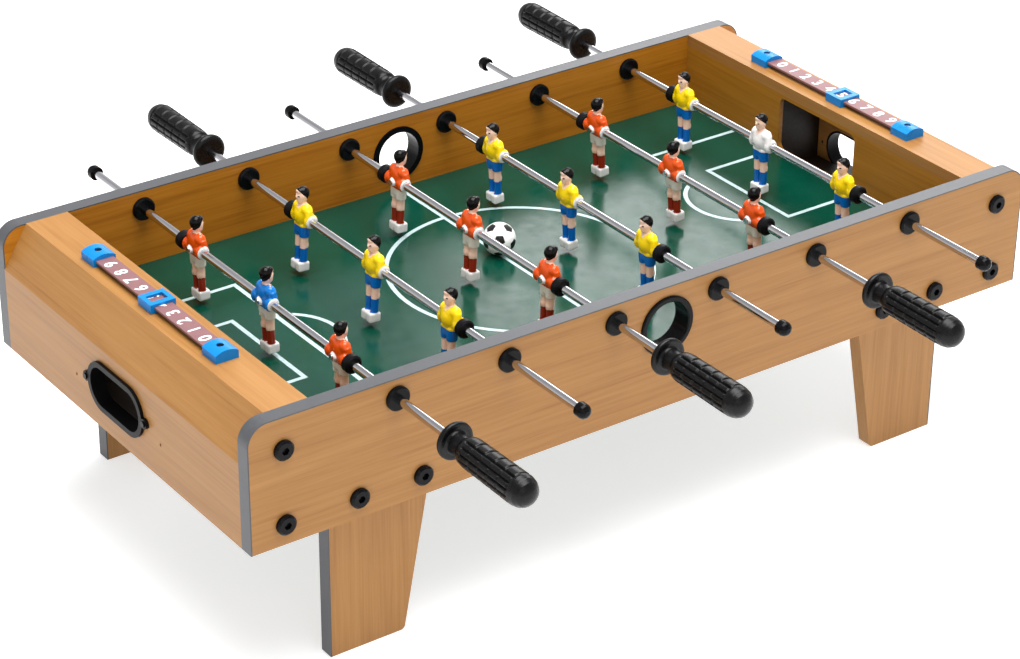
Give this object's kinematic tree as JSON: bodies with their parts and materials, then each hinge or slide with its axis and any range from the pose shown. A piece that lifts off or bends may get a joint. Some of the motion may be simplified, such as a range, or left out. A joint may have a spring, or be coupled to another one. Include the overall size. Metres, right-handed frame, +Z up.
{
  "type": "tabletop foosball",
  "caption": "Small table football game on four flat legs, with sliding and spinning rods of figures, serve rings, goals with ball exits and sliding score counters.",
  "frame": {"origin": "on the ground under the middle of the table", "axes": "+X along the table, from the end of rod 1 to the end of rod 6; +Y across it, from the front panel to the back panel; +Z up"},
  "size_m": [0.6972, 0.6527, 0.2226],
  "materials": {
    "oak_board": "satin oak-look laminate on board",
    "grey_band": "matte grey edge band",
    "green_field": "satin green playing surface with white lines",
    "black_board": "dark board",
    "black_plastic": "gloss black moulding",
    "black_grip": "satin black moulded grip",
    "black_rubber": "black rubber",
    "black_metal": "black coated steel",
    "zinc_steel": "zinc plated",
    "chrome_rod": "polished",
    "mauve_plastic": "satin rail with white digits",
    "blue_plastic": "bright blue moulding",
    "figure_red": "painted moulding",
    "figure_yellow": "painted moulding",
    "ball_white": "white with black panels"
  },
  "bodies": {
    "frame": {"side_panel_front": "oak_board", "side_panel_back": "oak_board", "edge_bands": "grey_band", "end_cover_left": "oak_board", "end_cover_right": "oak_board", "goal_board_left": "oak_board", "goal_board_right": "oak_board", "goal_trays": "black_board", "exit_bezels": "black_plastic", "playfield": "green_field", "legs_front": "oak_board", "legs_back": "oak_board", "corner_blocks": "black_board", "panel_bolts": "black_metal", "barrel_nuts": "zinc_steel", "leg_nuts": "zinc_steel", "rod_bushings": "black_plastic", "serve_rings": "black_plastic", "scorer_rails": "mauve_plastic", "scorer_end_caps": "blue_plastic", "trim_screws": "zinc_steel"},
    "score_pointer_left": {"score_slider_left": "blue_plastic"},
    "score_pointer_right": {"score_slider_right": "blue_plastic"},
    "loose_ball": {"ball": "ball_white"},
    "rod_1_bumper_pair": {"rod_1_bumpers": "black_rubber"},
    "rod_1": {"rod_1_tube": "chrome_rod", "rod_1_players": "figure_red", "rod_1_handle": "black_grip", "rod_1_end_cap": "black_plastic", "rod_1_screws": "zinc_steel"},
    "rod_2_bumper_pair": {"rod_2_bumpers": "black_rubber"},
    "rod_2": {"rod_2_tube": "chrome_rod", "rod_2_players": "figure_yellow", "rod_2_handle": "black_grip", "rod_2_end_cap": "black_plastic", "rod_2_screws": "zinc_steel"},
    "rod_3_bumper_pair": {"rod_3_bumpers": "black_rubber"},
    "rod_3": {"rod_3_tube": "chrome_rod", "rod_3_players": "figure_red", "rod_3_handle": "black_grip", "rod_3_end_cap": "black_plastic", "rod_3_screws": "zinc_steel"},
    "rod_4_bumper_pair": {"rod_4_bumpers": "black_rubber"},
    "rod_4": {"rod_4_tube": "chrome_rod", "rod_4_players": "figure_yellow", "rod_4_handle": "black_grip", "rod_4_end_cap": "black_plastic", "rod_4_screws": "zinc_steel"},
    "rod_5_bumper_pair": {"rod_5_bumpers": "black_rubber"},
    "rod_5": {"rod_5_tube": "chrome_rod", "rod_5_players": "figure_red", "rod_5_handle": "black_grip", "rod_5_end_cap": "black_plastic", "rod_5_screws": "zinc_steel"},
    "rod_6_bumper_pair": {"rod_6_bumpers": "black_rubber"},
    "rod_6": {"rod_6_tube": "chrome_rod", "rod_6_players": "figure_yellow", "rod_6_handle": "black_grip", "rod_6_end_cap": "black_plastic", "rod_6_screws": "zinc_steel"}
  },
  "joints": [
    {"name": "rod_1_slide", "type": "slide", "parent": "frame", "child": "rod_1_bumper_pair", "axis": [0, 1, 0], "range_m": [-0.0375, 0.0555]},
    {"name": "rod_1_spin", "type": "hinge", "parent": "rod_1_bumper_pair", "child": "rod_1", "pos_m": [-0.2285, 0, 0.197], "axis": [0, 1, 0], "continuous": true},
    {"name": "rod_2_slide", "type": "slide", "parent": "frame", "child": "rod_2_bumper_pair", "axis": [0, 1, 0], "range_m": [-0.0347, 0.0583]},
    {"name": "rod_2_spin", "type": "hinge", "parent": "rod_2_bumper_pair", "child": "rod_2", "pos_m": [-0.1371, 0, 0.197], "axis": [0, 1, 0], "continuous": true},
    {"name": "rod_3_slide", "type": "slide", "parent": "frame", "child": "rod_3_bumper_pair", "axis": [0, 1, 0], "range_m": [-0.0467, 0.0463]},
    {"name": "rod_3_spin", "type": "hinge", "parent": "rod_3_bumper_pair", "child": "rod_3", "pos_m": [-0.0457, 0, 0.197], "axis": [0, 1, 0], "continuous": true},
    {"name": "rod_4_slide", "type": "slide", "parent": "frame", "child": "rod_4_bumper_pair", "axis": [0, 1, 0], "range_m": [-0.0462, 0.0468]},
    {"name": "rod_4_spin", "type": "hinge", "parent": "rod_4_bumper_pair", "child": "rod_4", "pos_m": [0.0457, 0, 0.197], "axis": [0, 1, 0], "continuous": true},
    {"name": "rod_5_slide", "type": "slide", "parent": "frame", "child": "rod_5_bumper_pair", "axis": [0, 1, 0], "range_m": [-0.0375, 0.0555]},
    {"name": "rod_5_spin", "type": "hinge", "parent": "rod_5_bumper_pair", "child": "rod_5", "pos_m": [0.1371, 0, 0.197], "axis": [0, 1, 0], "continuous": true},
    {"name": "rod_6_slide", "type": "slide", "parent": "frame", "child": "rod_6_bumper_pair", "axis": [0, 1, 0], "range_m": [-0.0385, 0.0545]},
    {"name": "rod_6_spin", "type": "hinge", "parent": "rod_6_bumper_pair", "child": "rod_6", "pos_m": [0.2285, 0, 0.197], "axis": [0, 1, 0], "continuous": true},
    {"name": "score_slide_left", "type": "slide", "parent": "frame", "child": "score_pointer_left", "axis": [0, 1, 0], "range_m": [-0.0665, 0.0645]},
    {"name": "score_slide_right", "type": "slide", "parent": "frame", "child": "score_pointer_right", "axis": [0, 1, 0], "range_m": [-0.0565, 0.0745]},
    {"name": "ball_lift", "type": "slide", "parent": "frame", "child": "loose_ball", "axis": [0, 0, 1], "range_m": [0, 0.1]}
  ]
}
